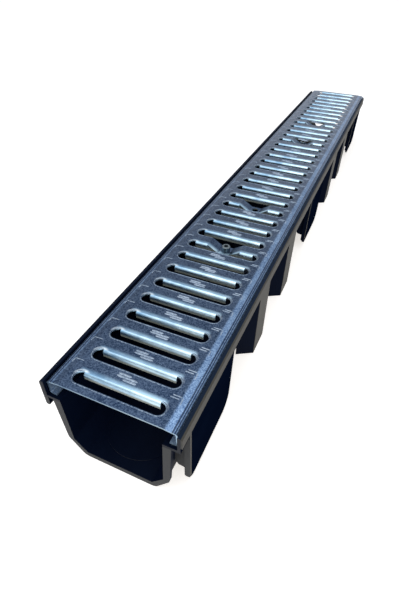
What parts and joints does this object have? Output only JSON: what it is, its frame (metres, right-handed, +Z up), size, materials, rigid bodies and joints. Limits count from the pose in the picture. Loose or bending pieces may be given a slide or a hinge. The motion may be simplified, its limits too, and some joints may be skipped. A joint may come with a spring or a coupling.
{
  "type": "channel drain",
  "caption": "Linear channel drain: black moulded channel body with outer ribs and a slotted galvanised steel grate bolted on.",
  "frame": {"origin": "middle of the width at the near end face, on the ground plane", "axes": "+Y along the channel away from the near end, +X across it to the right, +Z up"},
  "size_m": [0.129, 1, 0.095],
  "materials": {
    "body_plastic": "moulded, slightly satin",
    "galvanised_steel": "hot-dip galvanised with fine spangle",
    "screw_steel": "bright zinc plated",
    "bar_steel": "galvanised"
  },
  "bodies": {
    "root": {"channel_body": "body_plastic", "grate": "galvanised_steel", "lock_screw_near": "screw_steel", "lock_screw_far": "screw_steel", "lock_bar_near": "bar_steel", "lock_bar_far": "bar_steel"}
  },
  "joints": []
}
